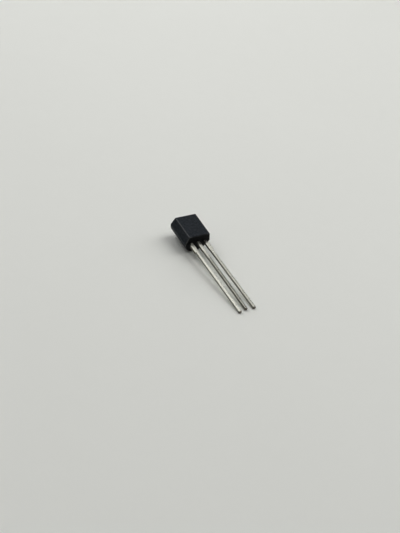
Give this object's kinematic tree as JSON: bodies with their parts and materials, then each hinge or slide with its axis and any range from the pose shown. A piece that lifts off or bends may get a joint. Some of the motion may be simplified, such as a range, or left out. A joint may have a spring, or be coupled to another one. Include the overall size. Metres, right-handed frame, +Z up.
{
  "type": "to-92 transistor",
  "caption": "Small-signal transistor in a half-round moulded body with a flat front and straight tinned leads in one row, for through-hole boards.",
  "frame": {"origin": "on the floor, under the middle of the object's box, as the part lies at rest", "axes": "+Y from the lead tips to the closed top end of the body, +Z up, the side that the flat front faces, +X to the right when the flat is looked at with the leads towards the viewer"},
  "size_m": [0.0044, 0.019, 0.0039],
  "materials": {
    "epoxy_body": "satin charcoal-black moulded epoxy with a fine spark-eroded grain",
    "tinned_lead": "bright tin plate over stamped sheet, with faint lengthwise rolling lines",
    "silicon_die": "polished silicon with thin aluminium metallisation",
    "die_attach": "cured silver-filled paste, matt and slightly grainy",
    "bond_wire": "smooth drawn gold wire"
  },
  "bodies": {
    "root": {"epoxy_body": "epoxy_body", "emitter_lead": "tinned_lead", "base_lead": "tinned_lead", "collector_lead": "tinned_lead", "silicon_die": "silicon_die", "die_attach": "die_attach", "emitter_bond_wire": "bond_wire", "base_bond_wire": "bond_wire"}
  },
  "joints": []
}
